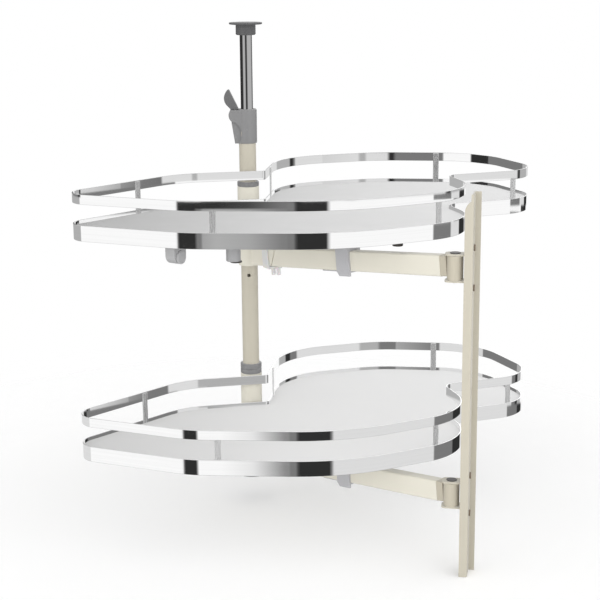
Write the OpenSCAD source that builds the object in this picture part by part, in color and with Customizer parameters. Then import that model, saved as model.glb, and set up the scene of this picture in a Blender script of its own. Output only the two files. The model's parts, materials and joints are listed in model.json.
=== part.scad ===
// Blind corner pull-out organizer. Two stacked kidney trays ride on arms that
// swing round a clamped telescopic post, and the arms carry a slotted door rail.
// Frame: Z up, Z = 0 on the cabinet floor, the post axis is the Z axis, and the
// door rail's flanges lie along X. Millimetres.

/* [Post] */
// Outer diameter of the lower post tube
tube_d = 28; // [24:1:32]
// Wall of the lower post tube
tube_wall = 2; // [1.5:0.5:3]
// Outer diameter of the telescopic inner tube
inner_d = 20; // [14:1:22]
// Wall of the inner tube
inner_wall = 1.5; // [1:0.5:2]
// Height of the post from floor plate to head plate, as set
post_h = 771; // [727:2:807]
// Length of the inner tube inside the lower tube, as set
inner_in = 105; // [88:1:110]
// Length of the guide ring on the inner tube
guide_len = 15; // [10:1:20]
// Height of the lower post tube's top end above the floor
tube_top = 596; // [576:2:626]
// Diameter of the floor plate
foot_d = 60; // [50:1:80]
// Diameter of the head plate
head_d = 54; // [52:1:70]
// Thickness of the floor plate and of the head plate
plate_t = 3; // [2.5:0.5:6]
// Height of the sockets on both plates
socket_h = 17; // [12:1:25]
// Diameter of the socket under the head plate
head_socket_d = 32.5; // [30:0.5:34]
// Pitch circle of the screw holes in both plates
plate_pcd = 43; // [42:1:44]
// Number of screw holes in each plate
plate_holes = 3; // [3:1:4]
// Diameter of the screw holes in both plates
plate_hole_d = 4.5; // [3.5:0.5:5]

/* [Lock] */
// Height of the lock collar
collar_h = 56; // [50:1:70]
// Length of the lock collar below the post tube's top end
collar_grip = 21; // [16:1:26]
// Wall of the lock collar round the post tube
collar_wall = 2; // [2:0.5:5]
// Distance from the post axis to the lever pin
lever_pin_x = 21; // [20:0.5:24]
// Diameter of the lever pin
lever_pin_d = 5; // [4:0.5:6]
// Width of the lever between the collar's cheeks
lever_w = 14; // [10:1:16]
// Wall of the collar beside the lever
cheek_t = 4.5; // [4:0.5:5]
// Depth of the recess in that wall, below the boss
recess_d = 1.8; // [1:0.2:2]
// Rise of the cheeks round the lever pin above that wall
cheek_rise = 1.5; // [1:0.5:2]
// Width of the lever's neck below its blade
neck_w = 8; // [6:1:10]
// Turn of the lock about the post from the -X side
lock_turn = 11; // [0:1:30]

/* [Tiers] */
// Height of the lower tray's top rail edge
lower_z = 182; // [176:1:196]
// Distance between the two trays
tier_gap = 350; // [340:1:380]
// Outer diameter of the swing sleeves
sleeve_d = 36; // [34:1:42]
// Wall of the swing sleeves
sleeve_wall = 1.5; // [1:0.5:2.5]
// Height of the sleeves' lower end below the tray's top rail edge
sleeve_drop = 162.5; // [158:0.5:168]
// Length of the upper sleeve
upper_sleeve_h = 133.5; // [110:0.5:150]
// Length of the lower sleeve
lower_sleeve_h = 161; // [110:0.5:170]
// Length of a bush inside its sleeve
bush_len = 20; // [12:1:30]
// Height of the top bush's collar
bush_collar = 8; // [4:1:12]
// Height of a support pin above its sleeve's lower end
support_up = 10.5; // [5:0.5:14]
// Diameter of the support pins and of the cross holes in the post
support_d = 6; // [4:0.5:8]
// Distance from the upper support pin down to the spare cross hole
hole_step = 27; // [22:1:40]
// Turn of the cross holes about the post from the -Y side
hole_turn = 8; // [0:1:30]
// Height of the stop ring clamped above the lower sleeve
ring_h = 9; // [6:1:14]

/* [Arms] */
// Distance from the post axis to the door hinge along X
hinge_x = 369; // [340:1:400]
// Distance from the post axis to the door hinge along -Y
hinge_y = 265; // [240:1:290]
// Height of an arm tube
arm_h = 32; // [24:1:34]
// Width of an arm tube
arm_w = 20; // [16:1:26]
// Wall of an arm tube
arm_wall = 2; // [1.5:0.5:3]
// Outer radius of the arm tube's edges
arm_edge = 3; // [2.5:0.5:5]
// Distance from the post axis to the arm tube's inner end, at its underside
arm_start = 67; // [62:1:72]
// Slant of the arm tube's inner end, along the arm
arm_slant = 13; // [0:1:15]
// Length of the welded inserts inside the arm tube
insert_len = 25; // [15:1:40]
// Rise of an arm from the post to the hinge
arm_rise = 50; // [30:1:60]
// Diameter of the hinge knuckles
knuckle_d = 24; // [20:1:26]
// Height of the hinge knuckles
knuckle_h = 36.5; // [34:0.5:42]
// Height of a knuckle's lower end below the tray's top rail edge
knuckle_drop = 117.5; // [115:0.5:120]
// Diameter of the hinge pins
pin_d = 10; // [8:0.5:12]
// Distance from the post axis to the tray saddle along the arm
saddle_at = 238; // [225:1:250]
// Length of the saddle along the arm
saddle_len = 28; // [20:1:32]
// Wall of the saddle beside the arm
saddle_wall = 4; // [3:0.5:6]
// Height of the saddle over the arm
saddle_cap = 5; // [4:0.5:8]
// Depth of the saddle's lip below the arm
saddle_lip = 7.5; // [4:0.5:9]
// Length of the saddle's tongue under the arm, towards the post
tongue_len = 40; // [20:1:50]
// Diameter of the stem between saddle and tray carrier
stem_d = 12; // [8:1:16]
// Width of the tray carrier plate
carrier_w = 44; // [36:1:56]
// Thickness of the tray carrier plate
carrier_t = 3; // [2:0.5:5]
// Reach of the carrier plate past the saddle's middle
carrier_past = 22; // [20:1:40]
// Length of the gusset along the carrier, from the post axis
gusset_len = 90; // [60:1:120]
// Height of the gusset on the sleeve
gusset_h = 36; // [24:1:44]
// Spread of the carrier screws across the plate
screw_gap = 28; // [20:1:30]
// Diameter of the carrier screws
screw_d = 4; // [3:0.5:5]
// Depth of the screws and bolts in the board
bite = 12; // [8:1:13]

/* [Trays] */
// Thickness of the tray boards
board_t = 19; // [16:1:21]
// Height of the lower chrome band
band_h = 24.5; // [22:0.5:26]
// Thickness of the chrome bands
band_t = 1.5; // [1:0.25:2.5]
// Height of the thin top rail
rail_h = 15; // [8:0.5:18]
// Height from the tray's underside to the top rail's upper edge
tray_h = 71.5; // [66:0.5:80]
// Width of the flat rail posts
flat_w = 10; // [6:0.5:14]
// Thickness of the flat rail posts
flat_t = 2; // [1.5:0.25:3]

/* [Door rail] */
// Length of the door rail
door_rail_h = 589; // [560:1:640]
// Distance the door rail reaches below the cabinet floor
door_rail_below = 46; // [30:1:60]
// Depth of the rail's web
web_d = 32; // [28:1:40]
// Width of the rail's front flange, web included
front_flange_w = 12.6; // [10:0.2:14]
// Width of the rail's back flange, web included
back_flange_w = 10.8; // [10:0.2:14]
// Outer radius of the rail's two bends
rail_bend = 3; // [2.5:0.5:4]
// Sheet thickness of the rail
rail_t = 2; // [1.5:0.25:3]
// Distance from the hinge pin to the rail's web
web_x = 24.6; // [23:0.2:28]
// Width of the slots in the web
slot_w = 6; // [5:0.5:8]
// Length of the slots in the web
slot_len = 18; // [14:1:24]
// Height of each panel slot above its hinge's middle
slot_up = 52; // [48:1:60]
// Height of the middle slot above the cabinet floor
mid_slot_z = 243; // [210:1:310]
// Thickness of the hinge bracket's sheet
bracket_t = 2.5; // [2:0.25:3]
// Height of the bracket plate on the web
bracket_h = 76; // [72:1:84]
// Distance between the two bracket screws
bracket_screw_gap = 60; // [56:1:64]
// Diameter of the bracket screws
bracket_screw_d = 5; // [4:0.5:6]
// Reach of the bracket's lugs past the hinge pin
lug_reach = 15; // [13:0.5:17]

/* [Under the upper tray] */
// Diameter of the bumper
bumper_d = 22; // [20:1:30]
// Height of the bumper
bumper_h = 30; // [20:1:34]
// Distance of the bumper's bolt from its middle
bolt_off = 4; // [0:0.5:5]
// Diameter of the guide wheel
wheel_d = 20; // [16:1:21]
// Width of the guide wheel
wheel_w = 9; // [7:1:11]
// Turn of the wheel's axle from the +X side towards -Y
wheel_turn = 24; // [0:1:45]
// Length of the wheel's housing
housing_len = 18; // [16:1:24]
// Radius of the housing's round lower side
housing_r = 13.5; // [13:0.5:16]

/* [Hidden] */

cream = [0.84, 0.82, 0.75];
chrome = [0.80, 0.81, 0.82];
grey = [0.50, 0.50, 0.51];
dark = [0.30, 0.30, 0.31];
board_white = [0.90, 0.90, 0.90];
milky = [0.93, 0.92, 0.88];

// running clearance of every turning or sliding fit, on the radius
fit = 0.05;
// gap between moving faces
gap = 0.3;
fine = 72;

upper_z = lower_z + tier_gap;
arm_turn = -atan2(hinge_y, hinge_x);
arm_r = sqrt(hinge_x * hinge_x + hinge_y * hinge_y);
arm_tilt = atan2(arm_rise, arm_r);
collar_z = tube_top - collar_grip;
collar_top = collar_z + collar_h;
collar_r = tube_d / 2 + collar_wall;
lever_pin_z = collar_top - 9;
cam_r = 8;
inner_len = post_h - plate_t - tube_top + inner_in;
sleeve_r = sleeve_d / 2;
sleeve_bore = sleeve_r - sleeve_wall;
// Places under the upper tray's front lobe
bumper_at = [35, -259];
bolt_at = [279, -222];
wheel_at = [-50, -276];

// Corner points of the tray's outline and the radius of each corner
outline = [
    [-233, -288, 34], [-23, -330, 178], [208, -301, 300], [358, -186, 112], [377, -109, 102],
    [333, -26, 19], [366, -7, 55], [484, 65, 66], [395, 199, 81], [334, 240, 103],
    [184, 229, 175], [23, 142, 127], [32, -19, 6], [-100, -73, 122], [-165, -179, 183]
];
// Flat rail posts: corner number and share of its arc, or 1 plus the share of the straight after it
flat_places = [[13, 1.6], [1, 1.12], [11, 1.4], [9, 1.12], [3, 0.22], [7, 0.14]];
// Carrier screws along the arm
screw_places = [60, 130, 200, 250];

function corner(i) = outline[(i + len(outline)) % len(outline)];
function flat(p) = [p[0], p[1]];
function unit(v) = v / norm(v);
function left_of(v) = [-v[1], v[0]];
function run_in(i) = unit(flat(corner(i)) - flat(corner(i - 1)));
function run_out(i) = unit(flat(corner(i + 1)) - flat(corner(i)));
// 1 where the outline turns left, -1 where it turns right into a notch
function turn_sign(i) = sign(cross(run_in(i), run_out(i)));
function arc_centre(i) = flat(corner(i)) + turn_sign(i) * corner(i)[2]
    * (left_of(run_in(i)) + left_of(run_out(i))) / (1 + run_in(i) * run_out(i));
function start_angle(i) = let (v = -turn_sign(i) * left_of(run_in(i))) atan2(v[1], v[0]);
function arc_angle(i) = turn_sign(i) * acos(run_in(i) * run_out(i));
// Point on the arc of corner i, moved inward by inset
function arc_point(i, share, inset) = arc_centre(i) + (corner(i)[2] - turn_sign(i) * inset)
    * [cos(start_angle(i) + arc_angle(i) * share), sin(start_angle(i) + arc_angle(i) * share)];
function arc_steps(i) = max(2, ceil(abs(arc_angle(i)) / 5));
function tray_path(inset) = [
    for (i = [0 : len(outline) - 1])
        for (k = [0 : arc_steps(i)])
            arc_point(i, k / arc_steps(i), inset)
];
function path_point(i, share, inset) = share <= 1
    ? arc_point(i, share, inset)
    : arc_point(i, 1, inset) * (2 - share) + arc_point(i + 1, 0, inset) * (share - 1);
function path_angle(i, share) = share <= 1
    ? start_angle(i) + arc_angle(i) * share + 90 * turn_sign(i)
    : atan2(run_out(i)[1], run_out(i)[0]);
function circle_points(x, y, r, from, to, n) = [
    for (k = [0 : n]) [x + r * cos(from + (to - from) * k / n), y + r * sin(from + (to - from) * k / n)]
];

module tube(d, wall, h) {
    difference() {
        cylinder(d = d, h = h, $fn = fine);
        translate([0, 0, -1])
            cylinder(d = d - 2 * wall, h = h + 2, $fn = fine);
    }
}

// Plate with screw holes and a socket for a tube, socket upward, its outer edges rounded
module mount_plate(d, socket_d, tube_bore) {
    top = plate_t + socket_h;
    difference() {
        rotate_extrude($fn = fine)
            polygon(concat(
                [[0, 0], [d / 2 - 0.5, 0], [d / 2, 0.5]],
                circle_points(d / 2 - 1.5, plate_t - 1.5, 1.5, 0, 90, 5),
                circle_points(socket_d / 2 + 1.5, plate_t + 1.5, 1.5, 270, 180, 4),
                circle_points(socket_d / 2 - 2, top - 2, 2, 0, 90, 5),
                [[0, top]]));
        translate([0, 0, plate_t])
            cylinder(d = tube_bore, h = socket_h + 1, $fn = fine);
        for (k = [0 : plate_holes - 1])
            rotate([0, 0, 90 + 360 * k / plate_holes])
                translate([plate_pcd / 2, 0, -1])
                    cylinder(d = plate_hole_d, h = plate_t + 2, $fn = 32);
    }
}

module post_foot() {
    color(grey) mount_plate(foot_d, tube_d + 5, tube_d);
}

module post_tube() {
    color(cream) difference() {
        translate([0, 0, plate_t])
            tube(tube_d, tube_wall, tube_top - plate_t);
        cross_pin(support_z(upper_z), 2 * tube_d);
        cross_pin(support_z(upper_z) - hole_step, 2 * tube_d);
        cross_pin(support_z(lower_z), 2 * tube_d);
    }
}

function support_z(top_z) = top_z - sleeve_drop + support_up;

module cross_pin(z, len) {
    translate([0, 0, z])
        rotate([90, 0, hole_turn])
            cylinder(d = support_d, h = len, center = true, $fn = 32);
}

// Pin through the post, hidden in the sleeve's lower end, with the bottom bush on it
module support_pin(top_z) {
    color(dark) cross_pin(support_z(top_z), 2 * sleeve_bore - 1.5);
}

module lower_stop_ring() {
    ring_z = lower_z - sleeve_drop + lower_sleeve_h + bush_collar + gap;
    color(grey) translate([0, 0, ring_z]) difference() {
        rounded_disc(sleeve_r, ring_h, 1.5);
        translate([0, 0, -1])
            cylinder(d = tube_d, h = ring_h + 2, $fn = fine);
    }
}

// Disc with both outer edges rounded
module rounded_disc(r, h, edge) {
    rotate_extrude($fn = fine)
        polygon(concat(
            [[0, 0]],
            circle_points(r - edge, edge, edge, 270, 360, 4),
            circle_points(r - edge, h - edge, edge, 0, 90, 4),
            [[0, h]]));
}

// Upright outline, drawn in X and Z, with the given half width along Y
module upright(half, points) {
    translate([0, half, 0])
        rotate([90, 0, 0])
            linear_extrude(2 * half)
                polygon(points);
}

// Boss of the cheeks round the lever pin, measured from the post axis
boss_x = -16.5;
boss_r = 13.4;

// Rim of the recess in the collar's flanks, from the boss down to the collar's foot
recess_rim = [
    [-25.3, 36.2], [-19.9, 35.2], [-15.4, 31], [-11.8, 26.4], [-9.6, 22], [-8.7, 17.3], [-9.4, 11.9],
    [-11.2, 6.2], [-13.4, 1], [-14, -1]
];

module lock_collar() {
    slot = lever_w / 2 + gap;
    flank = slot + cheek_t;
    far = lever_pin_x + 30;
    color(grey) rotate([0, 0, lock_turn]) difference() {
        union() {
            translate([0, 0, collar_z])
                rounded_disc(collar_r, collar_h, 1.5);
            // wall that closes the lever's well, level with the recess
            upright(flank, [
                [0, collar_z], [1 - lever_pin_x, collar_z], [-25.3, collar_z + 34], [-25.3, collar_z + 40],
                [0, collar_z + 40]
            ]);
            // cheeks round the lever pin
            upright(flank + cheek_rise, concat(
                [[-6, collar_z + 20], [-9.6, collar_z + 22], [-15.4, collar_z + 31],
                    [-19.9, collar_z + 35.2]],
                circle_points(boss_x, lever_pin_z - 0.5, boss_r, 229, 143, 10),
                [[0, collar_top - 1.5]]));
        }
        // recess in both flanks
        for (side = [-1, 1])
            translate([0, side * (flank - recess_d + 10), collar_z])
                upright(10, concat([[-40, 36.2]], recess_rim, [[-40, -1]]));
        // bore for the post tube and for the inner tube
        translate([0, 0, collar_z - 1])
            cylinder(d = tube_d, h = collar_grip + 1, $fn = fine);
        translate([0, 0, collar_z - 1])
            cylinder(r = inner_d / 2 + fit, h = collar_h + 2, $fn = fine);
        // well between the cheeks for the lever
        translate([-far, -slot, lever_pin_z - cam_r - 1])
            cube([far - inner_d / 2 - 2, 2 * slot, collar_h]);
        translate([-far, -slot, lever_pin_z - cam_r - 16])
            cube([far - collar_r - 0.5, 2 * slot, collar_h]);
        lever_axis(lever_pin_d / 2);
    }
}

// Bore or pin across the collar that ends inside the cheeks
module lever_axis(r) {
    reach = lever_w + 2 * gap + 2 * cheek_t - 2;
    translate([-lever_pin_x, 0, lever_pin_z])
        rotate([90, 0, 0])
            cylinder(r = r, h = reach, center = true, $fn = 32);
}

module lever_pin() {
    color(dark) rotate([0, 0, lock_turn])
        lever_axis(lever_pin_d / 2);
}

// Half-moon lever with a narrow neck and a cam at its pin
module lock_lever() {
    px = -lever_pin_x;
    pz = lever_pin_z;
    blade_z = collar_top + 0.2;
    color(grey) rotate([0, 0, lock_turn]) difference() {
        union() {
            upright(lever_w / 2, circle_points(px, pz, cam_r, 0, 355, 71));
            upright(neck_w / 2, [
                [px - 5, pz], [px + 6, pz], [px + 6.5, blade_z + 2], [px - 6, blade_z + 2]
            ]);
            upright(lever_w / 2, concat(
                [[px + 7.2, blade_z]],
                circle_points(px - 8.9, pz + 39, 1.5, 30, 120, 4),
                circle_points(px + 1, pz + 27, 17.3, 136, 226, 12),
                [[px - 5.8, blade_z]]));
        }
        lever_axis(lever_pin_d / 2 + fit);
    }
}

module inner_tube() {
    color(chrome) translate([0, 0, post_h - plate_t - inner_len])
        tube(inner_d, inner_wall, inner_len);
}

// Plastic ring that guides the inner tube's lower end in the post tube
module inner_guide() {
    guide_d = tube_d - 2 * tube_wall - 2 * fit;
    color(dark) translate([0, 0, post_h - plate_t - inner_len])
        tube(guide_d, (guide_d - inner_d) / 2, guide_len);
}

module top_flange() {
    color(dark) translate([0, 0, post_h])
        mirror([0, 0, 1])
            mount_plate(head_d, head_socket_d, inner_d);
}

module sleeve(top_z, h) {
    color(cream) translate([0, 0, top_z - sleeve_drop])
        tube(sleeve_d, sleeve_wall, h);
}

// Plastic bush in the sleeve's upper end, with a collar on the rim
module top_bush(top_z, h) {
    color(grey) translate([0, 0, top_z - sleeve_drop + h]) difference() {
        union() {
            rounded_disc(sleeve_r, bush_collar, 1.5);
            translate([0, 0, -bush_len])
                cylinder(r = sleeve_bore, h = bush_len, $fn = fine);
        }
        bush_hole();
    }
}

// Plastic bush inside the sleeve's lower end, on the support pin
module bottom_bush(top_z) {
    color(grey) translate([0, 0, support_z(top_z) + support_d / 2 + gap]) difference() {
        cylinder(r = sleeve_bore, h = bush_len, $fn = fine);
        bush_hole();
    }
}

module bush_hole() {
    cylinder(r = tube_d / 2 + fit, h = 4 * bush_len, center = true, $fn = fine);
}

// Puts a shape drawn along +X, with z = 0 on the arm's underside, onto an arm
module along_arm(top_z) {
    translate([0, 0, top_z - sleeve_drop - arm_low])
        rotate([0, 0, arm_turn])
            rotate([0, -arm_tilt, 0])
                children();
}

// Box profile along +X from one end to the other, moved in from the arm tube's faces
module arm_bar(from, to, inset) {
    w = arm_w / 2 - inset;
    r = max(arm_edge - inset, 0.6);
    translate([from, 0, 0])
        rotate([90, 0, 90])
            linear_extrude(to - from)
                polygon(concat(
                    circle_points(w - r, inset + r, r, 270, 360, 4),
                    circle_points(w - r, arm_h - inset - r, r, 0, 90, 4),
                    circle_points(r - w, arm_h - inset - r, r, 90, 180, 4),
                    circle_points(r - w, inset + r, r, 180, 270, 4)));
}

module at_hinge(top_z) {
    translate([hinge_x, -hinge_y, top_z - knuckle_drop])
        children();
}

// Depth of the arm's underside below the sleeve's lower end, at the post axis
arm_low = 0.5;
// Distance along the tilted arm to its outer end
arm_end = arm_r / cos(arm_tilt) - knuckle_d / 2 - 8;

// Width of the groove between the root and the arm tube's slanted end
end_groove = 2.5;

// Cutter from the slanted line that starts at the given place to another place along the arm
module slanted_end(at, to) {
    upright(arm_w, [
        [to, -1], [at, -1], [at, 0], [at + arm_slant, arm_h], [at + arm_slant, arm_h + 1], [to, arm_h + 1]
    ]);
}

// Welded root between the sleeve and the arm tube, with an insert in the tube
module arm_root(top_z) {
    color(cream) difference() {
        along_arm(top_z) {
            arm_bar(0, arm_start + arm_slant + insert_len, arm_wall);
            difference() {
                arm_bar(0, arm_start + arm_slant, 0.5);
                slanted_end(arm_start - end_groove, arm_r);
            }
        }
        translate([0, 0, top_z - sleeve_drop - arm_h])
            cylinder(r = sleeve_r, h = 4 * arm_h, $fn = fine);
    }
}

module arm(top_z) {
    color(cream) along_arm(top_z) difference() {
        arm_bar(arm_start, arm_end, 0);
        arm_bar(0, arm_r, arm_wall);
        slanted_end(arm_start, 0);
    }
}

// Knuckle with a short neck to the arm tube and an insert in it
module knuckle(top_z) {
    color(cream) difference() {
        union() {
            at_hinge(top_z)
                cylinder(d = knuckle_d, h = knuckle_h, $fn = fine);
            along_arm(top_z) {
                arm_bar(arm_end, arm_end + knuckle_d / 2, 0.7);
                arm_bar(arm_end - insert_len, arm_end, arm_wall);
            }
        }
        at_hinge(top_z) translate([0, 0, -1])
            cylinder(r = pin_d / 2 + fit, h = knuckle_h + 2, $fn = fine);
    }
}

// Moulded strap round the arm's root, deeper towards the arm tube
module arm_collar(top_z) {
    low = arm_start - 20;
    high = low + 14.5;
    color(milky) along_arm(top_z) difference() {
        upright(arm_w / 2 + 1.5, [[low, -1.2], [high, -4.5], [high, arm_h + 1.5], [low, arm_h + 1.5]]);
        arm_bar(0, arm_r, 0.5);
    }
}

// Clip under the arm tube's inner end, with two round pegs along the arm
module clip(top_z) {
    peg_d = 7;
    color(milky) along_arm(top_z) translate([arm_start, -arm_w / 2, 0]) {
        translate([-5.5, 0, -3])
            cube([19.5, 10, 3]);
        for (x = [-2, 10.5])
            translate([x, 5, -12])
                mirror([0, 0, 1])
                    peg(peg_d / 2);
    }
}

// Peg that hangs from the clip, its lower end rounded
module peg(r) {
    rotate_extrude($fn = 32)
        polygon(concat([[0, -10], [r, -10]], circle_points(r - 1.5, 0.5, 1.5, 0, 90, 4), [[0, 2]]));
}

// Block that clasps the arm and takes the stem, with a lip on its near side and a tongue towards the post
module saddle(top_z) {
    half = arm_w / 2 + saddle_wall;
    low = saddle_at - saddle_len / 2;
    high = saddle_at + saddle_len / 2;
    top = arm_h + saddle_cap;
    color(grey) difference() {
        along_arm(top_z) difference() {
            union() {
                upright(half, [[low, -2], [high, -2], [high, top], [low, top]]);
                translate([0, -half + saddle_wall / 2, 0])
                    upright(saddle_wall / 2, [
                        [low, 0], [low + 5, -saddle_lip], [high, -saddle_lip], [high, 0]
                    ]);
                translate([low - tongue_len, 4 - arm_w / 2, -2])
                    cube([tongue_len + 1, arm_w - 8, 2]);
            }
            arm_bar(0, arm_r, 0);
        }
        stem_at(top_z) cylinder(d = stem_d, h = 60, $fn = 48);
    }
}

// Places a vertical piece on the arm's middle line, its foot 2 mm above the tube's top
module stem_at(top_z) {
    rotate([0, 0, arm_turn])
        translate([saddle_at * cos(arm_tilt), 0, stem_foot(top_z)])
            children();
}

function stem_foot(top_z) = top_z - sleeve_drop - arm_low
    + saddle_at * sin(arm_tilt) + arm_h / cos(arm_tilt) + 2;

module stem(top_z) {
    color(dark) stem_at(top_z)
        cylinder(d = stem_d, h = top_z - tray_h - carrier_t - stem_foot(top_z), $fn = 48);
}

// Plate under the board, with a gusset welded to the sleeve
module carrier(top_z) {
    plate_z = top_z - tray_h - carrier_t;
    color(cream) difference() {
        rotate([0, 0, arm_turn]) union() {
            translate([0, -carrier_w / 2, plate_z])
                cube([saddle_at + carrier_past, carrier_w, carrier_t]);
            upright(carrier_t / 2, [[0, plate_z], [gusset_len, plate_z], [sleeve_r + 4, plate_z - gusset_h],
                [0, plate_z - gusset_h]]);
        }
        cylinder(r = sleeve_r, h = 2 * upper_z, $fn = fine);
        screw_holes(top_z);
    }
}

module at_screws(top_z) {
    rotate([0, 0, arm_turn])
        for (x = screw_places)
            for (y = [-screw_gap / 2, screw_gap / 2])
                translate([x, y, top_z - tray_h - carrier_t])
                    children();
}

module screw_holes(top_z) {
    at_screws(top_z) translate([0, 0, -1])
        cylinder(d = screw_d, h = carrier_t + 1 + bite, $fn = 24);
}

module screws(top_z) {
    color(dark) at_screws(top_z) union() {
        cylinder(d = screw_d, h = carrier_t + bite, $fn = 24);
        translate([0, 0, -0.6 * screw_d])
            cylinder(d = 2 * screw_d, h = 0.6 * screw_d, $fn = 24);
    }
}

module board(top_z, front_bolts) {
    color(board_white) difference() {
        translate([0, 0, top_z - tray_h])
            linear_extrude(board_t)
                polygon(tray_path(band_t));
        screw_holes(top_z);
        if (front_bolts) {
            under_tray(bumper_at) translate([bolt_off, 0, 0]) cylinder(d = bolt_d, h = bite, $fn = 24);
            under_tray(bolt_at) cylinder(d = bolt_d, h = bite, $fn = 24);
        }
    }
}

// Closed strip that follows the tray's outline
module strip(low, h) {
    translate([0, 0, low])
        linear_extrude(h)
            difference() {
                polygon(tray_path(0));
                polygon(tray_path(band_t));
            }
}

module band(top_z) {
    color(chrome) strip(top_z - tray_h, band_h);
}

module top_rail(top_z) {
    color(chrome) strip(top_z - rail_h, rail_h);
}

module rail_posts(top_z) {
    low = top_z - tray_h + board_t;
    color(chrome) for (place = flat_places) {
        p = path_point(place[0], place[1], band_t + flat_t / 2 + gap);
        translate([p[0], p[1], low])
            rotate([0, 0, path_angle(place[0], place[1])])
                translate([-flat_w / 2, -flat_t / 2, 0])
                    cube([flat_w, flat_t, top_z - 1 - low]);
    }
}

bolt_d = 6;

// Fittings under the upper tray's front lobe hang from its underside
module under_tray(place) {
    translate([place[0], place[1], upper_z - tray_h])
        children();
}

module bumper() {
    color(grey) under_tray(bumper_at) difference() {
        translate([0, 0, -bumper_h])
            rounded_disc(bumper_d / 2, bumper_h, 1);
        translate([bolt_off, 0, 0])
            cylinder(d = bolt_d, h = 3 * bumper_h, center = true, $fn = 24);
    }
}

module bumper_bolt() {
    color(dark) under_tray(bumper_at) translate([bolt_off, 0, -bumper_h]) union() {
        cylinder(d = bolt_d, h = bumper_h + bite, $fn = 24);
        translate([0, 0, -2])
            cylinder(d = 3 * bolt_d, h = 2, $fn = 48);
    }
}

module tray_bolt() {
    color(dark) under_tray(bolt_at) union() {
        cylinder(d = bolt_d, h = bite, $fn = 24);
        translate([0, 0, -7])
            cylinder(d = 16, h = 7, $fn = 48);
    }
}

wheel_drop = 23;
axle_d = 5;
// Start of the wheel along its axle, from the housing's middle
wheel_from = 3.4;

// Puts a shape drawn along +Z on the wheel's axle, at the given depth under the tray
module on_axle(drop) {
    under_tray(wheel_at)
        translate([0, 0, -drop])
            rotate([0, 90, -wheel_turn])
                children();
}

// Half-round housing, open at its end and below for the wheel
module wheel_housing() {
    round_drop = wheel_drop + wheel_d / 2 - housing_r;
    color(grey) difference() {
        union() {
            on_axle(round_drop) translate([0, 0, -housing_len / 2])
                cylinder(r = housing_r, h = housing_len, $fn = fine);
            on_axle(0) translate([0, -housing_r, -housing_len / 2])
                cube([round_drop, 2 * housing_r, housing_len]);
        }
        on_axle(wheel_drop) translate([0, 0, wheel_from - 0.5])
            cylinder(r = wheel_d / 2 + 0.8, h = housing_len, $fn = fine);
        wheel_pin(wheel_from + 1);
    }
}

// Axle that ends inside the wheel
module wheel_pin(to) {
    on_axle(wheel_drop) translate([0, 0, -6])
        cylinder(d = axle_d, h = 6 + to, $fn = 24);
}

module wheel_axle() {
    color(dark) wheel_pin(wheel_from + wheel_w - 2.5);
}

module guide_wheel() {
    color(grey) on_axle(wheel_drop) translate([0, 0, wheel_from]) difference() {
        rounded_disc(wheel_d / 2, wheel_w, 1.2);
        translate([0, 0, -1])
            cylinder(r = axle_d / 2 + fit, h = wheel_w - 1, $fn = 32);
    }
}

function hinge_mid(top_z) = top_z - knuckle_drop + knuckle_h / 2;

// Section of the rail seen from above: front flange towards -X, web, back flange towards +X
rail_section = concat(
    [[rail_t - front_flange_w, -web_d / 2]],
    circle_points(rail_t - rail_bend, rail_bend - web_d / 2, rail_bend, 270, 360, 6),
    circle_points(rail_bend, web_d / 2 - rail_bend, rail_bend - rail_t, 180, 90, 4),
    [[back_flange_w, web_d / 2 - rail_t], [back_flange_w, web_d / 2]],
    circle_points(rail_bend, web_d / 2 - rail_bend, rail_bend, 90, 180, 6),
    circle_points(rail_t - rail_bend, rail_bend - web_d / 2, rail_bend - rail_t, 360, 270, 4),
    [[rail_t - front_flange_w, rail_t - web_d / 2]]);

module door_rail() {
    low = -door_rail_below;
    high = low + door_rail_h;
    left = rail_t - front_flange_w;
    color(cream) translate([hinge_x + web_x, -hinge_y, 0]) difference() {
        translate([0, 0, low])
            linear_extrude(door_rail_h)
                polygon(rail_section);
        // rounded upper corner of the front flange
        translate([0, rail_bend - web_d / 2, 0])
            rotate([90, 0, 0])
                linear_extrude(2 * rail_bend)
                    polygon(concat(
                        [[left - 1, high + 1], [left - 1, high - 26]],
                        circle_points(left + 18, high - 26, 18, 180, 120, 8),
                        [[left + 9, high + 1]]));
        for (top_z = [upper_z, lower_z]) {
            web_slot(hinge_mid(top_z) + slot_up);
            for (side = [-1, 1])
                translate([0, 0, hinge_mid(top_z) + side * bracket_screw_gap / 2])
                    rotate([0, 90, 0])
                        cylinder(d = bracket_screw_d, h = 20, center = true, $fn = 32);
        }
        web_slot(mid_slot_z);
    }
}

module web_slot(z) {
    translate([rail_t / 2, 0, z])
        rotate([0, 90, 0]) {
            for (side = [-1, 1])
                translate([side * (slot_len - slot_w) / 2, 0, 0])
                    cylinder(d = slot_w, h = 3 * rail_t, center = true, $fn = 32);
            cube([slot_len - slot_w, slot_w, 3 * rail_t], center = true);
        }
}

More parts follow.
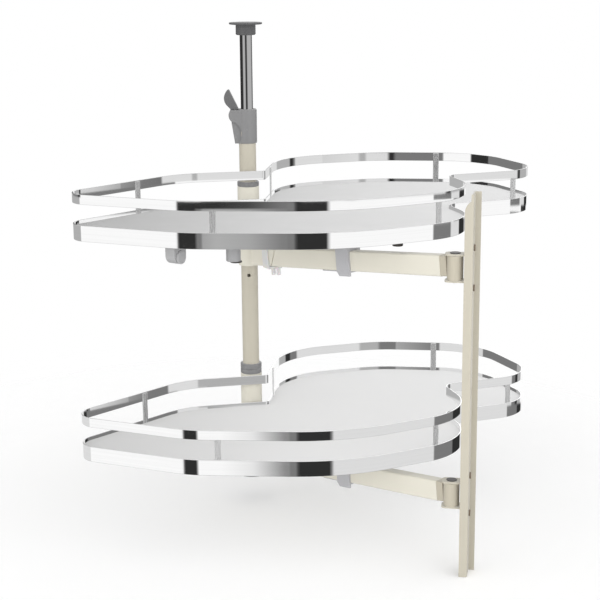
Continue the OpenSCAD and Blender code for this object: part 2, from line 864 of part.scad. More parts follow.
// Bracket of two lugs and a plate on the web, folded from one sheet
module bracket(top_z) {
    half = web_d / 2 - rail_bend;
    lug_half = knuckle_d / 2 - 1;
    lug_mid = (knuckle_h + bracket_t) / 2 + gap;
    corner_r = 7;
    color(cream) translate([hinge_x, -hinge_y, 0]) difference() {
        union() {
            translate([web_x - bracket_t, -half, hinge_mid(top_z) - bracket_h / 2])
                cube([bracket_t, 2 * half, bracket_h]);
            for (side = [-1, 1])
                translate([0, 0, hinge_mid(top_z) + side * lug_mid - bracket_t / 2])
                    linear_extrude(bracket_t)
                        polygon(concat(
                            [[web_x - bracket_t, -lug_half], [web_x - bracket_t, lug_half]],
                            circle_points(corner_r - lug_reach, lug_half - corner_r, corner_r, 90, 180, 6),
                            circle_points(corner_r - lug_reach, corner_r - lug_half, corner_r,
                                180, 270, 6)));
        }
        translate([0, 0, hinge_mid(top_z)])
            cylinder(d = pin_d, h = 2 * bracket_h, center = true, $fn = fine);
        for (side = [-1, 1])
            translate([web_x, 0, hinge_mid(top_z) + side * bracket_screw_gap / 2])
                rotate([0, 90, 0])
                    cylinder(d = bracket_screw_d, h = 20, center = true, $fn = 32);
    }
}

// Hinge pin with a flat head above the upper lug and a riveted end below the lower one
module hinge_pin(top_z) {
    half = knuckle_h / 2 + gap + bracket_t;
    color(dark) translate([hinge_x, -hinge_y, hinge_mid(top_z) - half]) union() {
        cylinder(d = pin_d, h = 2 * half, $fn = fine);
        translate([0, 0, 2 * half])
            cylinder(d = pin_d + 6, h = 1.2, $fn = fine);
        translate([0, 0, -1.2])
            cylinder(d = pin_d + 4, h = 1.2, $fn = fine);
    }
}

module bracket_screws(top_z) {
    color(dark) translate([hinge_x + web_x, -hinge_y, 0])
        for (side = [-1, 1])
            translate([0, 0, hinge_mid(top_z) + side * bracket_screw_gap / 2])
                rotate([0, 90, 0]) union() {
                    translate([0, 0, -bracket_t - 1])
                        cylinder(d = bracket_screw_d, h = bracket_t + 1 + rail_t, $fn = 32);
                    translate([0, 0, rail_t])
                        cylinder(d = 2 * bracket_screw_d, h = 2.5, $fn = 32);
                }
}

post_foot();
post_tube();
lock_collar();
lever_pin();
lock_lever();
inner_tube();
inner_guide();
top_flange();
support_pin(upper_z);  // upper_support_pin
support_pin(lower_z);  // lower_support_pin
lower_stop_ring();
sleeve(upper_z, upper_sleeve_h);  // upper_sleeve
top_bush(upper_z, upper_sleeve_h);  // upper_top_bush
bottom_bush(upper_z);  // upper_bottom_bush
arm_root(upper_z);  // upper_arm_root
arm(upper_z);  // upper_arm
knuckle(upper_z);  // upper_knuckle
arm_collar(upper_z);  // upper_arm_collar
clip(upper_z);  // upper_clip
saddle(upper_z);  // upper_saddle
stem(upper_z);  // upper_stem
carrier(upper_z);  // upper_carrier
screws(upper_z);  // upper_screws
board(upper_z, true);  // upper_board
band(upper_z);  // upper_band
top_rail(upper_z);  // upper_rail
rail_posts(upper_z);  // upper_rail_posts
sleeve(lower_z, lower_sleeve_h);  // lower_sleeve
top_bush(lower_z, lower_sleeve_h);  // lower_top_bush
bottom_bush(lower_z);  // lower_bottom_bush
arm_root(lower_z);  // lower_arm_root
arm(lower_z);  // lower_arm
knuckle(lower_z);  // lower_knuckle
arm_collar(lower_z);  // lower_arm_collar
clip(lower_z);  // lower_clip
saddle(lower_z);  // lower_saddle
stem(lower_z);  // lower_stem
carrier(lower_z);  // lower_carrier
screws(lower_z);  // lower_screws
board(lower_z, false);  // lower_board
band(lower_z);  // lower_band
top_rail(lower_z);  // lower_rail
rail_posts(lower_z);  // lower_rail_posts
bumper();
bumper_bolt();
tray_bolt();
wheel_housing();
wheel_axle();
guide_wheel();
door_rail();
bracket(upper_z);  // upper_bracket
hinge_pin(upper_z);  // upper_hinge_pin
bracket_screws(upper_z);  // upper_bracket_screws
bracket(lower_z);  // lower_bracket
hinge_pin(lower_z);  // lower_hinge_pin
bracket_screws(lower_z);  // lower_bracket_screws
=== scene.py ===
import json
import math

import bmesh
import bpy
import numpy as np
from mathutils import Matrix, Vector


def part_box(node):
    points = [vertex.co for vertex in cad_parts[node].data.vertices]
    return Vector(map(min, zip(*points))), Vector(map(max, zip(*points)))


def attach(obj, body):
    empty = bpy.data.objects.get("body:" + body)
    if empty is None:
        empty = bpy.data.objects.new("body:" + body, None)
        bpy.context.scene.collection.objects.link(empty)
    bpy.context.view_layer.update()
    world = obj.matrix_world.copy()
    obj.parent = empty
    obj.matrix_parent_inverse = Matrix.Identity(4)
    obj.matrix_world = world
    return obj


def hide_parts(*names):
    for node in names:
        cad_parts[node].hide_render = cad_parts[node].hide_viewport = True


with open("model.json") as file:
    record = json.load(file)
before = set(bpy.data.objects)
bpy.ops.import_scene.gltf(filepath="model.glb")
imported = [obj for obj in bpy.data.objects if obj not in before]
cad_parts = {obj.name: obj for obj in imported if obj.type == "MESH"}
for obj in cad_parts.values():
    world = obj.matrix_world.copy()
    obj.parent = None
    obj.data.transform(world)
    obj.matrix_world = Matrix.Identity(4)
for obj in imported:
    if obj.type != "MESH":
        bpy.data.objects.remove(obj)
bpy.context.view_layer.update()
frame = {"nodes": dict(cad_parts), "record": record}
scene = bpy.context.scene
scene.view_settings.view_transform = "Standard"

# Camera, a little above the upper tray and 11 degrees to the right of the
# trays' front, turned half a degree about its own line of sight.
aim_turn, aim_down, aim_roll = math.radians(11), math.radians(13.46), math.radians(-0.49)
level_right = np.array([math.cos(aim_turn), math.sin(aim_turn), 0.0])
level_ahead = np.array([-math.sin(aim_turn), math.cos(aim_turn), 0.0])
straight_up = np.array([0.0, 0.0, 1.0])
ahead = level_ahead * math.cos(aim_down) - straight_up * math.sin(aim_down)
tilted_up = level_ahead * math.sin(aim_down) + straight_up * math.cos(aim_down)
right = level_right * math.cos(aim_roll) + tilted_up * math.sin(aim_roll)
up = tilted_up * math.cos(aim_roll) - level_right * math.sin(aim_roll)
tray_top = float(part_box("upper_rail")[1][2])
camera_place = (0.547, -2.3763, tray_top + 0.3577)
camera = bpy.data.objects.new("camera", bpy.data.cameras.new("camera"))
camera.data.sensor_width = 36.0
camera.data.lens = 88.54
camera.data.shift_x = 0.0012
camera.data.clip_end = 60.0
camera.matrix_world = Matrix((*zip(right, up, -ahead, camera_place), (0, 0, 0, 1)))
scene.collection.objects.link(camera)
scene.camera = camera

# Studio: a white room for the camera, even soft light for the object, and
# rings of plain cards that only glossy surfaces see. Each ring stands at its
# own height, so each chrome strip mirrors one of them.


def wire(tree, kind, settings=None, **inputs):
    """Adds a shader node. An input is a value or a socket, called by its socket's name with _ for
    a space, or i0, i1 and so on by its number."""
    made = tree.nodes.new(kind)
    for key, value in (settings or {}).items():
        setattr(made, key, value)
    for key, value in inputs.items():
        numbered = key[0] == "i" and key[1:].isdigit()
        socket = made.inputs[int(key[1:]) if numbered else key.replace("_", " ")]
        if isinstance(value, bpy.types.NodeSocket):
            tree.links.new(value, socket)
        else:
            socket.default_value = value
    return made


def reckon(tree, operation, *values):
    """Output of a Math node that joins the values by the operation."""
    numbered = {f"i{place}": value for place, value in enumerate(values)}
    return wire(tree, "ShaderNodeMath", {"operation": operation}, **numbered).outputs[0]


def graded(tree, value, span, result, shape="LINEAR"):
    """Runs from result[0] to result[1] as value runs from span[0] to span[1], and holds past both."""
    return wire(tree, "ShaderNodeMapRange", {"interpolation_type": shape}, i0=value,
                i1=span[0], i2=span[1], i3=result[0], i4=result[1]).outputs[0]


def mixed(tree, share, first, second):
    """Colour that goes from first to second as share goes from 0 to 1."""
    return wire(tree, "ShaderNodeMix", {"data_type": "RGBA"}, Factor=share, i6=first, i7=second).outputs[2]


BLACK, DARK, GREY, LIGHT, WHITE, BRIGHT = 0.03, 0.20, 0.45, 0.75, 1.0, 1.9
# (top of the ring in degrees above the horizon, width of the cards' soft edges in
# degrees, then every card's first edge as a bearing from +X, and its grey). The edges
# stand where they put the strips' bands as in the photograph.
CARD_RINGS = [
    (90, 10, [(-180, LIGHT), (-50, GREY), (50, WHITE), (73, BRIGHT), (106, GREY), (158, LIGHT)]),
    (14, 16, [(-180, LIGHT), (-50, GREY), (45, WHITE), (101, BLACK), (160, LIGHT)]),
    (-1.5, 16, [(-180, BLACK), (-140, GREY), (-95, BLACK), (-60, GREY), (30, DARK), (60, BLACK)]),
    (-7.2, 3, [(-180, DARK), (-167, BLACK), (-148, WHITE), (-91, DARK), (-85, BLACK), (-78, LIGHT),
               (-52, GREY), (-44, LIGHT), (8, DARK), (12, BLACK), (20, GREY), (60, LIGHT),
               (120, GREY), (148, DARK)]),
    (-9.1, 2, [(-180, GREY), (-155, WHITE), (-116, BLACK), (-88, DARK), (-82, BLACK), (-62, WHITE),
               (-16, DARK), (22, LIGHT), (47, BLACK), (72, WHITE), (100, GREY)]),
    (-9.76, 2, [(-180, GREY), (-155, WHITE), (-116, BLACK), (-88, DARK), (-82, BLACK), (-62, WHITE),
                (29, BLACK), (65, WHITE), (100, GREY)]),
    (-10.2, 2, [(-180, GREY), (-155, WHITE), (-116, BLACK), (-97, DARK), (-91, GREY), (-88, DARK),
                (-82, BLACK), (-62, WHITE), (-16, DARK), (22, LIGHT), (47, BLACK), (72, GREY)]),
    (-12.5, 3, [(-180, DARK), (-163, LIGHT), (-89, DARK), (-68, GREY), (-45, LIGHT), (8, DARK),
                (24, BLACK), (37, GREY), (60, WHITE), (110, GREY), (148, DARK)]),
    (-17.3, 2, [(-180, LIGHT), (-153, WHITE), (-116, BLACK), (-101, WHITE), (-88, DARK), (-82, BLACK),
                (-60, LIGHT), (-9, DARK), (37, BLACK), (71, LIGHT)]),
    (-26, 10, [(-180, GREY), (-125, DARK), (-55, GREY)]),
]
ring_blend = 0.0012
room = bpy.data.worlds.new("white_studio")
room.use_nodes = True
tree = room.node_tree
tree.nodes.clear()
facing = wire(tree, "ShaderNodeSeparateXYZ", i0=wire(tree, "ShaderNodeTexCoord").outputs["Generated"])
rightward, backward, upward = facing.outputs
bearing = reckon(tree, "ARCTAN2", backward, rightward)
turn = graded(tree, bearing, (-math.pi, math.pi), (0.0, 1.0))
cards_seen = None
for top, softness, cards in CARD_RINGS:
    stops = cards[:1]
    for (_, before), (first_edge, grey) in zip(cards, cards[1:]):
        stops += [(first_edge - softness / 2, before), (first_edge + softness / 2, grey)]
    ring = wire(tree, "ShaderNodeValToRGB", Fac=turn)
    ramp = ring.color_ramp
    while len(ramp.elements) < len(stops):
        ramp.elements.new(0.5)
    for stop, (degrees, grey) in zip(ramp.elements, stops):
        stop.position = (degrees + 180) / 360
        stop.color = (grey, grey, grey, 1)
    if cards_seen is None:
        cards_seen = ring.outputs["Color"]
        continue
    ring_top = math.sin(math.radians(top))
    below = graded(tree, upward, (ring_top + ring_blend, ring_top - ring_blend), (0.0, 1.0))
    cards_seen = mixed(tree, below, cards_seen, ring.outputs["Color"])
ceiling_card = (0.70, 0.70, 0.70, 1)
overhead = graded(tree, upward, (0.35, 0.6), (0.0, 1.0))
mirrored = mixed(tree, overhead, cards_seen, ceiling_card)

# The soft light: walls bright up to about 18 degrees that fade by 38 to a dim
# ceiling, half as bright below the horizon, brighter in front than behind and
# at the right than at the left.
wall_level, ceiling_level, ground_share = 1.85, 0.75, 0.5
front_share, back_share, left_share, right_share = 1.40, 0.60, 0.72, 1.28
walls = graded(tree, upward, (0.30, 0.62), (wall_level, ceiling_level), "SMOOTHSTEP")
ground = graded(tree, upward, (-0.02, 0.02), (ground_share, 1.0))
front = graded(tree, backward, (-1.0, 1.0), (front_share, back_share))
side = graded(tree, rightward, (-1.0, 1.0), (left_share, right_share))
brightness = reckon(tree, "MULTIPLY", walls, front)
brightness = reckon(tree, "MULTIPLY", brightness, side)
brightness = reckon(tree, "MULTIPLY", brightness, ground)
soft = wire(tree, "ShaderNodeVectorMath", {"operation": "SCALE"}, i0=(1.0, 1.0, 1.0), Scale=brightness)
ray = wire(tree, "ShaderNodeLightPath")
lit = mixed(tree, ray.outputs["Is Glossy Ray"], soft.outputs[0], mirrored)
seen = mixed(tree, ray.outputs["Is Camera Ray"], lit, (1, 1, 1, 1))
wire(tree, "ShaderNodeOutputWorld", Surface=wire(tree, "ShaderNodeBackground", Color=seen).outputs[0])
scene.world = room

# One square lamp at the front left gives the shadows a direction
lamp_place, lamp_target = Vector((-1.2, -2.9, 0.8)), Vector((0.05, -0.1, 0.35))
lamp = bpy.data.objects.new("key_lamp", bpy.data.lights.new("key_lamp", "AREA"))
lamp.data.size = 1.2
lamp.data.energy = 12
lamp.data.color = (1.0, 0.99, 0.97)
lamp_turn = (lamp_place - lamp_target).to_track_quat("Z", "Y").to_matrix().to_4x4()
lamp.matrix_world = Matrix.Translation(lamp_place) @ lamp_turn
lamp.visible_glossy = False
scene.collection.objects.link(lamp)

# Floor: a plain pale sheet just under the door rail's lower end, which fades
# out to the white room well away from the object.


def blank(name):
    """New material with an empty node tree."""
    made = bpy.data.materials.new(name)
    made.use_nodes = True
    made.node_tree.nodes.clear()
    return made


floor_gap, floor_half = 0.0005, 3
fade_start, fade_end = 0.5, 1.1
floor_grey, floor_lift = (0.90, 0.90, 0.90, 1), 0.12
floor_z = float(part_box("door_rail")[0][2]) - floor_gap
floor_corners = [(x * floor_half, y * floor_half, floor_z) for x, y in ((-1, -1), (1, -1), (1, 1), (-1, 1))]
floor_mesh = bpy.data.meshes.new("floor")
floor_mesh.from_pydata(floor_corners, [], [(0, 1, 2, 3)])
floor = bpy.data.objects.new("floor", floor_mesh)
floor.visible_glossy = False
scene.collection.objects.link(floor)
paper = blank("white_paper")
tree = paper.node_tree
place = wire(tree, "ShaderNodeTexCoord").outputs["Object"]
away = wire(tree, "ShaderNodeVectorMath", {"operation": "LENGTH"}, i0=place)
fade = graded(tree, away.outputs["Value"], (fade_start, fade_end), (0.0, 1.0), "SMOOTHSTEP")
matt = wire(tree, "ShaderNodeBsdfDiffuse", Color=floor_grey)
camera_ray = wire(tree, "ShaderNodeLightPath").outputs["Is Camera Ray"]
glow = reckon(tree, "MULTIPLY", camera_ray, floor_lift)
lift = wire(tree, "ShaderNodeEmission", Color=(1, 1, 1, 1), Strength=glow)
solid = wire(tree, "ShaderNodeAddShader", i0=matt.outputs[0], i1=lift.outputs[0])
clear = wire(tree, "ShaderNodeBsdfTransparent")
sheet = wire(tree, "ShaderNodeMixShader", Fac=fade, i1=solid.outputs[0], i2=clear.outputs[0])
wire(tree, "ShaderNodeOutputMaterial", Surface=sheet.outputs[0])
floor_mesh.materials.append(paper)

# Post: cream powder-coated steel tube in a moulded floor plate, with drilled
# cross holes; pins in them carry the sleeves, and a ring stops the lower one.
node_body = {node: body for body, nodes in frame["record"]["behaviour"]["bodies"].items() for node in nodes}

grain = bpy.data.node_groups.new("coat_grain", "ShaderNodeTree")
for direction, kind, name in (
    ("INPUT", "NodeSocketColor", "Colour"), ("INPUT", "NodeSocketFloat", "Mottle"),
    ("INPUT", "NodeSocketFloat", "Grain Size"), ("INPUT", "NodeSocketFloat", "Roughness"),
    ("INPUT", "NodeSocketFloat", "Spread"), ("OUTPUT", "NodeSocketColor", "Colour"),
    ("OUTPUT", "NodeSocketFloat", "Roughness"), ("OUTPUT", "NodeSocketFloat", "Height"),
):
    grain.interface.new_socket(name, in_out=direction, socket_type=kind)
into = wire(grain, "NodeGroupInput")
spot = wire(grain, "ShaderNodeTexCoord").outputs["Object"]
cells = reckon(grain, "DIVIDE", 1.0, into.outputs["Grain Size"])
fine = wire(grain, "ShaderNodeTexNoise", Vector=spot, Scale=cells, Detail=3.0, Roughness=0.6)
broad = wire(grain, "ShaderNodeTexNoise", Vector=spot, Scale=23.0, Detail=4.0, Roughness=0.55)
swing = reckon(grain, "SUBTRACT", broad.outputs["Fac"], 0.5)
shift = reckon(grain, "MULTIPLY_ADD", swing, into.outputs["Mottle"], 1.0)
tone = wire(grain, "ShaderNodeVectorMath", {"operation": "SCALE"}, i0=into.outputs["Colour"], Scale=shift)
rough = reckon(grain, "MULTIPLY_ADD", swing, into.outputs["Spread"], into.outputs["Roughness"])
wire(grain, "NodeGroupOutput", Colour=tone.outputs[0], Roughness=rough, Height=fine.outputs["Fac"])


def coated(name, colour, mottle, grain_size, roughness, spread, depth, **shader):
    """Principled material whose colour, roughness and bump come from the coat_grain group."""
    made = blank(name)
    tree = made.node_tree
    coat = wire(tree, "ShaderNodeGroup", {"node_tree": grain}, Colour=(*colour, 1), Mottle=mottle,
                Grain_Size=grain_size, Roughness=roughness, Spread=spread)
    bump = wire(tree, "ShaderNodeBump", Strength=0.6, Distance=depth, Height=coat.outputs["Height"])
    body = wire(tree, "ShaderNodeBsdfPrincipled", Base_Color=coat.outputs["Colour"],
                Roughness=coat.outputs["Roughness"], Normal=bump.outputs[0], **shader)
    wire(tree, "ShaderNodeOutputMaterial", Surface=body.outputs[0])
    made.diffuse_color = (*colour, 1)
    return made


cream_coat = coated("cream_powder_coat", (0.46, 0.43, 0.355), mottle=0.06, grain_size=0.0011,
                    roughness=0.36, spread=0.10, depth=0.00005)
grey_moulding = coated("grey_moulding", (0.200, 0.200, 0.202), mottle=0.06, grain_size=0.0006,
                       roughness=0.27, spread=0.10, depth=0.000005)
black_steel = coated("blackened_steel", (0.036, 0.031, 0.027), mottle=0.3, grain_size=0.0008,
                     roughness=0.42, spread=0.15, depth=0.00003, Metallic=0.15)


def placed(piece, node, finish):
    """Puts a finished piece in the place of its CAD node: body and material."""
    piece.data.materials.clear()
    piece.data.materials.append(finish)
    piece.modifiers.new("weighted_normals", "WEIGHTED_NORMAL").keep_sharp = True
    piece.visible_glossy = False
    scene.collection.objects.link(piece)
    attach(piece, node_body[node])
    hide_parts(node)
    return piece


def shade_round(form, crease):
    """Shades all faces smooth and keeps the edges sharper than crease degrees sharp."""
    for face in form.faces:
        face.smooth = True
    for line in form.edges:
        line.smooth = line.calc_face_angle(0.0) < math.radians(crease)


def eased(node, finish, edge=0.0004, crease=28):
    """Copy of a CAD node with its triangles merged to flat faces, round walls shaded
    smooth, and every edge sharper than crease degrees rounded by edge metres."""
    form = bmesh.new()
    form.from_mesh(frame["nodes"][node].data)
    bmesh.ops.remove_doubles(form, verts=form.verts, dist=1e-6)
    bmesh.ops.dissolve_limit(form, angle_limit=math.radians(0.4), verts=form.verts, edges=form.edges)
    shade_round(form, crease)
    mesh = bpy.data.meshes.new(node + "_finished")
    form.to_mesh(mesh)
    form.free()
    piece = bpy.data.objects.new(node + "_finished", mesh)
    if edge:
        round_off = piece.modifiers.new("rounded_edges", "BEVEL")
        round_off.width = edge
        round_off.segments = 2
        round_off.limit_method = "ANGLE"
        round_off.angle_limit = math.radians(crease)
        round_off.harden_normals = True
        round_off.use_clamp_overlap = True
    return placed(piece, node, finish)


eased("post_foot", grey_moulding, edge=0.0)
eased("post_tube", cream_coat, edge=0.0003)
eased("lower_stop_ring", grey_moulding, edge=0.0)
for node in ("upper_support_pin", "lower_support_pin"):
    eased(node, black_steel, edge=0.0003)

# Telescopic top: polished chrome tube that slides in the post, with a guide
# ring at its lower end and a dark moulded head plate pushed on its top.


def surface(name, grid, close_u=True, close_v=True):
    """Quad mesh over grid[u, v], the points of a surface of two parameters; close_u and
    close_v join the last row or column to the first, and poles are merged to one point."""
    rows, columns, _ = grid.shape
    u = np.arange(rows if close_u else rows - 1)[:, None]
    v = np.arange(columns if close_v else columns - 1)[None, :]
    u_next, v_next = (u + 1) % rows, (v + 1) % columns
    corners = [u * columns + v, u_next * columns + v, u_next * columns + v_next, u * columns + v_next]
    quads = np.stack(np.broadcast_arrays(*corners), -1).reshape(-1, 4)
    mesh = bpy.data.meshes.new(name)
    mesh.from_pydata(grid.reshape(-1, 3).tolist(), [], quads.tolist())
    form = bmesh.new()
    form.from_mesh(mesh)
    bmesh.ops.remove_doubles(form, verts=form.verts, dist=1e-7)
    bmesh.ops.recalc_face_normals(form, faces=form.faces)
    shade_round(form, 38)
    form.to_mesh(mesh)
    form.free()
    return bpy.data.objects.new(name, mesh)


def turned(name, profile, around=128):
    """Surface of revolution: the closed profile of (radius, height) points turns about the Z axis."""
    angle = np.linspace(0, 2 * np.pi, around, endpoint=False)[:, None]
    radius, height = profile.T
    grid = np.stack([radius * np.cos(angle), radius * np.sin(angle), height + 0 * angle], -1)
    return surface(name, grid)


def wall_profile(outer, inner, low, high, edge=0.0004):
    """Closed profile of an upright wall from inner to outer and from low to high; each corner is a
    quarter circle of radius edge, in four points."""
    arcs = []
    for across, height, start in ((outer - edge, low + edge, 270), (outer - edge, high - edge, 0),
                                  (inner + edge, high - edge, 90), (inner + edge, low + edge, 180)):
        angle = np.radians(start + np.linspace(0, 90, 4))
        arcs.append(np.stack([across + edge * np.cos(angle), height + edge * np.sin(angle)], -1))
    return np.concatenate(arcs)


def polished(name, streak, rough=0.015):
    """Chrome: plain metal whose roughness and brightness vary faintly with a noise on Object
    coordinates, scaled by streak along X, Y and Z so that it forms fine polishing lines."""
    made = blank(name)
    tree = made.node_tree
    place = wire(tree, "ShaderNodeTexCoord").outputs["Object"]
    spot = wire(tree, "ShaderNodeMapping", {"vector_type": "POINT"}, i0=place, Scale=streak)
    noise = wire(tree, "ShaderNodeTexNoise", Vector=spot.outputs[0], Scale=1.0, Detail=5.0, Roughness=0.65)
    gloss = graded(tree, noise.outputs["Fac"], (0.3, 0.7), (rough, rough * 2.5))
    tone = graded(tree, noise.outputs["Fac"], (0.3, 0.7), (0.92, 0.96))
    colour = wire(tree, "ShaderNodeCombineColor", Red=tone, Green=tone, Blue=tone)
    body = wire(tree, "ShaderNodeBsdfPrincipled", Base_Color=colour.outputs[0], Metallic=1.0, Roughness=gloss)
    wire(tree, "ShaderNodeOutputMaterial", Surface=body.outputs[0])
    made.diffuse_color = (0.8, 0.8, 0.81, 1)
    return made


chrome_strip = polished("chrome_strip", (4.0, 4.0, 420.0))
satin_chrome = polished("satin_chrome", (700.0, 700.0, 40.0), rough=0.14)
chrome_tube = polished("chrome_tube", (60.0, 60.0, 5.0))
dark_moulding = coated("dark_moulding", (0.080, 0.080, 0.082), mottle=0.08, grain_size=0.0006,
                       roughness=0.36, spread=0.12, depth=0.000004)
tube_radius, tube_bore = 0.010, 0.0085
tube_low, tube_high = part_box("inner_tube")
inner_tube = turned("inner_tube_polished", wall_profile(tube_radius, tube_bore, tube_low[2], tube_high[2]))
placed(inner_tube, "inner_tube", chrome_tube)
eased("inner_guide", dark_moulding, edge=0.0)
eased("top_flange", dark_moulding, edge=0.0)

# Lock: grey glass-filled moulding clamped on the post tube's top. A half-moon
# lever turns on a steel pin between its cheeks, and its cam grips the tube.
lever_moulding = coated("lever_moulding", (0.115, 0.115, 0.117), mottle=0.06, grain_size=0.0006,
                        roughness=0.34, spread=0.1, depth=0.00001)
eased("lock_collar", grey_moulding, edge=0.0006)
eased("lock_lever", lever_moulding, edge=0.0009)
eased("lever_pin", black_steel, edge=0.0003)

# Swing sleeves: steel tubes in the cream coat, painted paler as painted light,
# that turn on the post on two grey plastic bushes, the upper one with a collar
# that rests on the sleeve's rim.
# Painted light: a paler copy of the cream coat on the sleeves, arm roots, arms and carriers, which stands in
# for light under the trays.
arm_coat_painted_light = coated("arm_powder_coat_painted_light", (0.66, 0.635, 0.55), mottle=0.05, grain_size=0.0011,
                  roughness=0.36, spread=0.10, depth=0.00005)
sleeve_radius, sleeve_bore = 0.018, 0.0165
for tier in ("upper", "lower"):
    low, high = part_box(tier + "_sleeve")
    sleeve = turned(tier + "_sleeve_coated", wall_profile(sleeve_radius, sleeve_bore, low[2], high[2]))
    placed(sleeve, tier + "_sleeve", arm_coat_painted_light)
    eased(tier + "_top_bush", grey_moulding, edge=0.0)
    eased(tier + "_bottom_bush", grey_moulding, edge=0.0)

# Arms: coated steel box tubes with welded inserts at both ends, a milky strap
# and clip at the root, and a grey block with a steel stem under the tray.
milky_moulding = coated("milky_moulding", (0.62, 0.62, 0.61), mottle=0.04, grain_size=0.0008,
                        roughness=0.30, spread=0.1, depth=0.00002,
                        Subsurface_Weight=0.25, Subsurface_Scale=0.003)
# Painted shade: the knuckles get a darker, browner copy of the cream coat, which stands in for the shade of
# the brackets and door rail beside them.
knuckle_coat_painted_shade = coated("knuckle_powder_coat_painted_shade", (0.44, 0.405, 0.325), mottle=0.06, grain_size=0.0011,
                      roughness=0.36, spread=0.10, depth=0.00005)
pale_moulding = coated("pale_grey_moulding", (0.42, 0.42, 0.435), mottle=0.08, grain_size=0.0010,
                       roughness=0.45, spread=0.1, depth=0.00004)
for tier in ("upper", "lower"):
    for name, finish, slot, edge in (
        ("arm_root", arm_coat_painted_light, "cream_coat", 0.0),
        ("arm", arm_coat_painted_light, "cream_coat", 0.0),
        ("knuckle", knuckle_coat_painted_shade, "cream_coat", 0.0005),
        ("arm_collar", milky_moulding, "milky_plastic", 0.0006),
        ("clip", milky_moulding, "milky_plastic", 0.0008),
        ("saddle", pale_moulding, "grey_plastic", 0.0008),
        ("stem", black_steel, "dark_steel", 0.0004),
    ):
        eased(f"{tier}_{name}", finish, edge)

# Carriers: coated plates with a welded gusset, screwed to the boards from
# below with pan-head screws.
for tier in ("upper", "lower"):
    eased(tier + "_carrier", arm_coat_painted_light, edge=0.0003)
    eased(tier + "_screws", black_steel, edge=0.0004)

# Trays: a laminated board in a tall chrome band, and above it a thin chrome
# rail on six flat chrome posts, all bent to one kidney-shaped outline.

# Corner points of the outline in millimetres, with each corner's radius
OUTLINE = np.array([
    (-233, -288, 34), (-23, -330, 178), (208, -301, 300), (358, -186, 112), (377, -109, 102),
    (333, -26, 19), (366, -7, 55), (484, 65, 66), (395, 199, 81), (334, 240, 103),
    (184, 229, 175), (23, 142, 127), (32, -19, 6), (-100, -73, 122), (-165, -179, 183),
], float) / 1000


def tray_line(inset, step=2.0):
    """Points and outward normals along the outline moved inward by inset: straight runs joined by
    arcs of radius r about corner + s r (n + m) / (1 + n.m), n and m being the left normals of the
    runs before and after the corner and s the sense of its turn."""
    corner, radius = OUTLINE[:, :2], OUTLINE[:, 2]
    run = corner - np.roll(corner, 1, 0)
    run /= np.linalg.norm(run, axis=1)[:, None]
    after = np.roll(run, -1, 0)
    n, m = np.stack([-run[:, 1], run[:, 0]], 1), np.stack([-after[:, 1], after[:, 0]], 1)
    sense = np.sign(run[:, 0] * after[:, 1] - run[:, 1] * after[:, 0])
    dot = (run * after).sum(1)
    centre = corner + (sense * radius)[:, None] * (n + m) / (1 + dot)[:, None]
    start = np.arctan2(-sense * n[:, 1], -sense * n[:, 0])
    sweep = sense * np.arccos(dot)
    points, normals = [], []
    for k in range(len(corner)):
        count = max(3, int(math.degrees(abs(sweep[k])) / step) + 1)
        angle = start[k] + sweep[k] * np.linspace(0, 1, count)
        spoke = np.stack([np.cos(angle), np.sin(angle)], 1)
        points.append(centre[k] + (radius[k] - sense[k] * inset) * spoke)
        normals.append(sense[k] * spoke)
    return np.concatenate(points), np.concatenate(normals)


def strip(name, low, high, thick, edge=0.0005):
    """Closed strip: the profile of a wall, thick across and from low to high, carried along the
    outline moved in by a tenth of a millimetre, which keeps it inside the CAD's box."""
    line, normal = tray_line(0.0001)
    across, height = wall_profile(0.0, -thick, low, high, edge).T
    flat = line[:, None, :] + normal[:, None, :] * across[None, :, None]
    upright = np.broadcast_to(height[None, :, None], (*flat.shape[:2], 1))
    return surface(name, np.concatenate([flat, upright], -1))


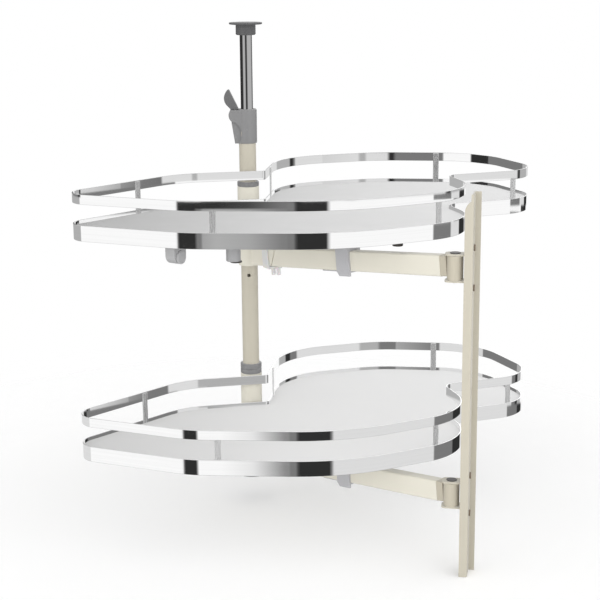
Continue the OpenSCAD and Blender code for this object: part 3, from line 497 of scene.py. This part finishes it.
def panel(name, low, high, inset, edge=0.0006):
    """Board: rings of the outline, drawn in at both rims, closed by one flat face above and one below."""
    rims = []
    rounded = inset + edge
    for shift, height in ((rounded, low), (inset, low + edge), (inset, high - edge), (rounded, high)):
        line, _ = tray_line(shift)
        rims.append(np.column_stack([line, np.full(len(line), height)]))
    piece = surface(name, np.stack(rims), close_u=False)
    form = bmesh.new()
    form.from_mesh(piece.data)
    bmesh.ops.holes_fill(form, edges=[line for line in form.edges if line.is_boundary], sides=0)
    bmesh.ops.recalc_face_normals(form, faces=form.faces)
    form.to_mesh(piece.data)
    form.free()
    return piece


laminate = coated("white_laminate", (0.69, 0.69, 0.69), mottle=0.02, grain_size=0.0009,
                  roughness=0.20, spread=0.06, depth=0.000006)
strip_thick = 0.0015
for tier in ("upper", "lower"):
    low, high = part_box(tier + "_board")
    board = panel(tier + "_board_laminated", low[2], high[2], inset=strip_thick)
    placed(board, tier + "_board", laminate)
    for name in ("band", "rail"):
        low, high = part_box(f"{tier}_{name}")
        bent = strip(f"{tier}_{name}_polished", low[2], high[2], strip_thick)
        placed(bent, f"{tier}_{name}", chrome_strip)
    eased(tier + "_rail_posts", satin_chrome, edge=0.0007)

# Under the upper tray's front lobe: a grey bumper on a bolt, a further bolt
# head, and a half-round housing in which a light guide wheel turns.
light_moulding = coated("light_moulding", (0.35, 0.35, 0.355), mottle=0.05, grain_size=0.0006,
                        roughness=0.36, spread=0.1, depth=0.00001)
bumper_moulding = coated("bumper_moulding", (0.30, 0.30, 0.305), mottle=0.06, grain_size=0.0006,
                         roughness=0.30, spread=0.1, depth=0.00001)
eased("bumper", bumper_moulding, edge=0.0)
eased("bumper_bolt", black_steel, edge=0.0004)
eased("tray_bolt", black_steel, edge=0.0005)
eased("wheel_housing", light_moulding, edge=0.0005)
eased("wheel_axle", black_steel, edge=0.0003)
eased("guide_wheel", light_moulding, edge=0.0)

# Door side: folded brackets hold the arms' knuckles on steel pins, and screws
# through them carry the coated, slotted Z-shaped rail for the cabinet's door.
bronzed_steel = coated("bronzed_steel", (0.20, 0.155, 0.11), mottle=0.2, grain_size=0.0008,
                       roughness=0.40, spread=0.1, depth=0.00002, Metallic=0.2)
eased("door_rail", cream_coat, edge=0.0007, crease=40)
for tier in ("upper", "lower"):
    eased(tier + "_bracket", cream_coat, edge=0.0004)
    eased(tier + "_hinge_pin", black_steel, edge=0.0003)
    eased(tier + "_bracket_screws", bronzed_steel, edge=0.0003)
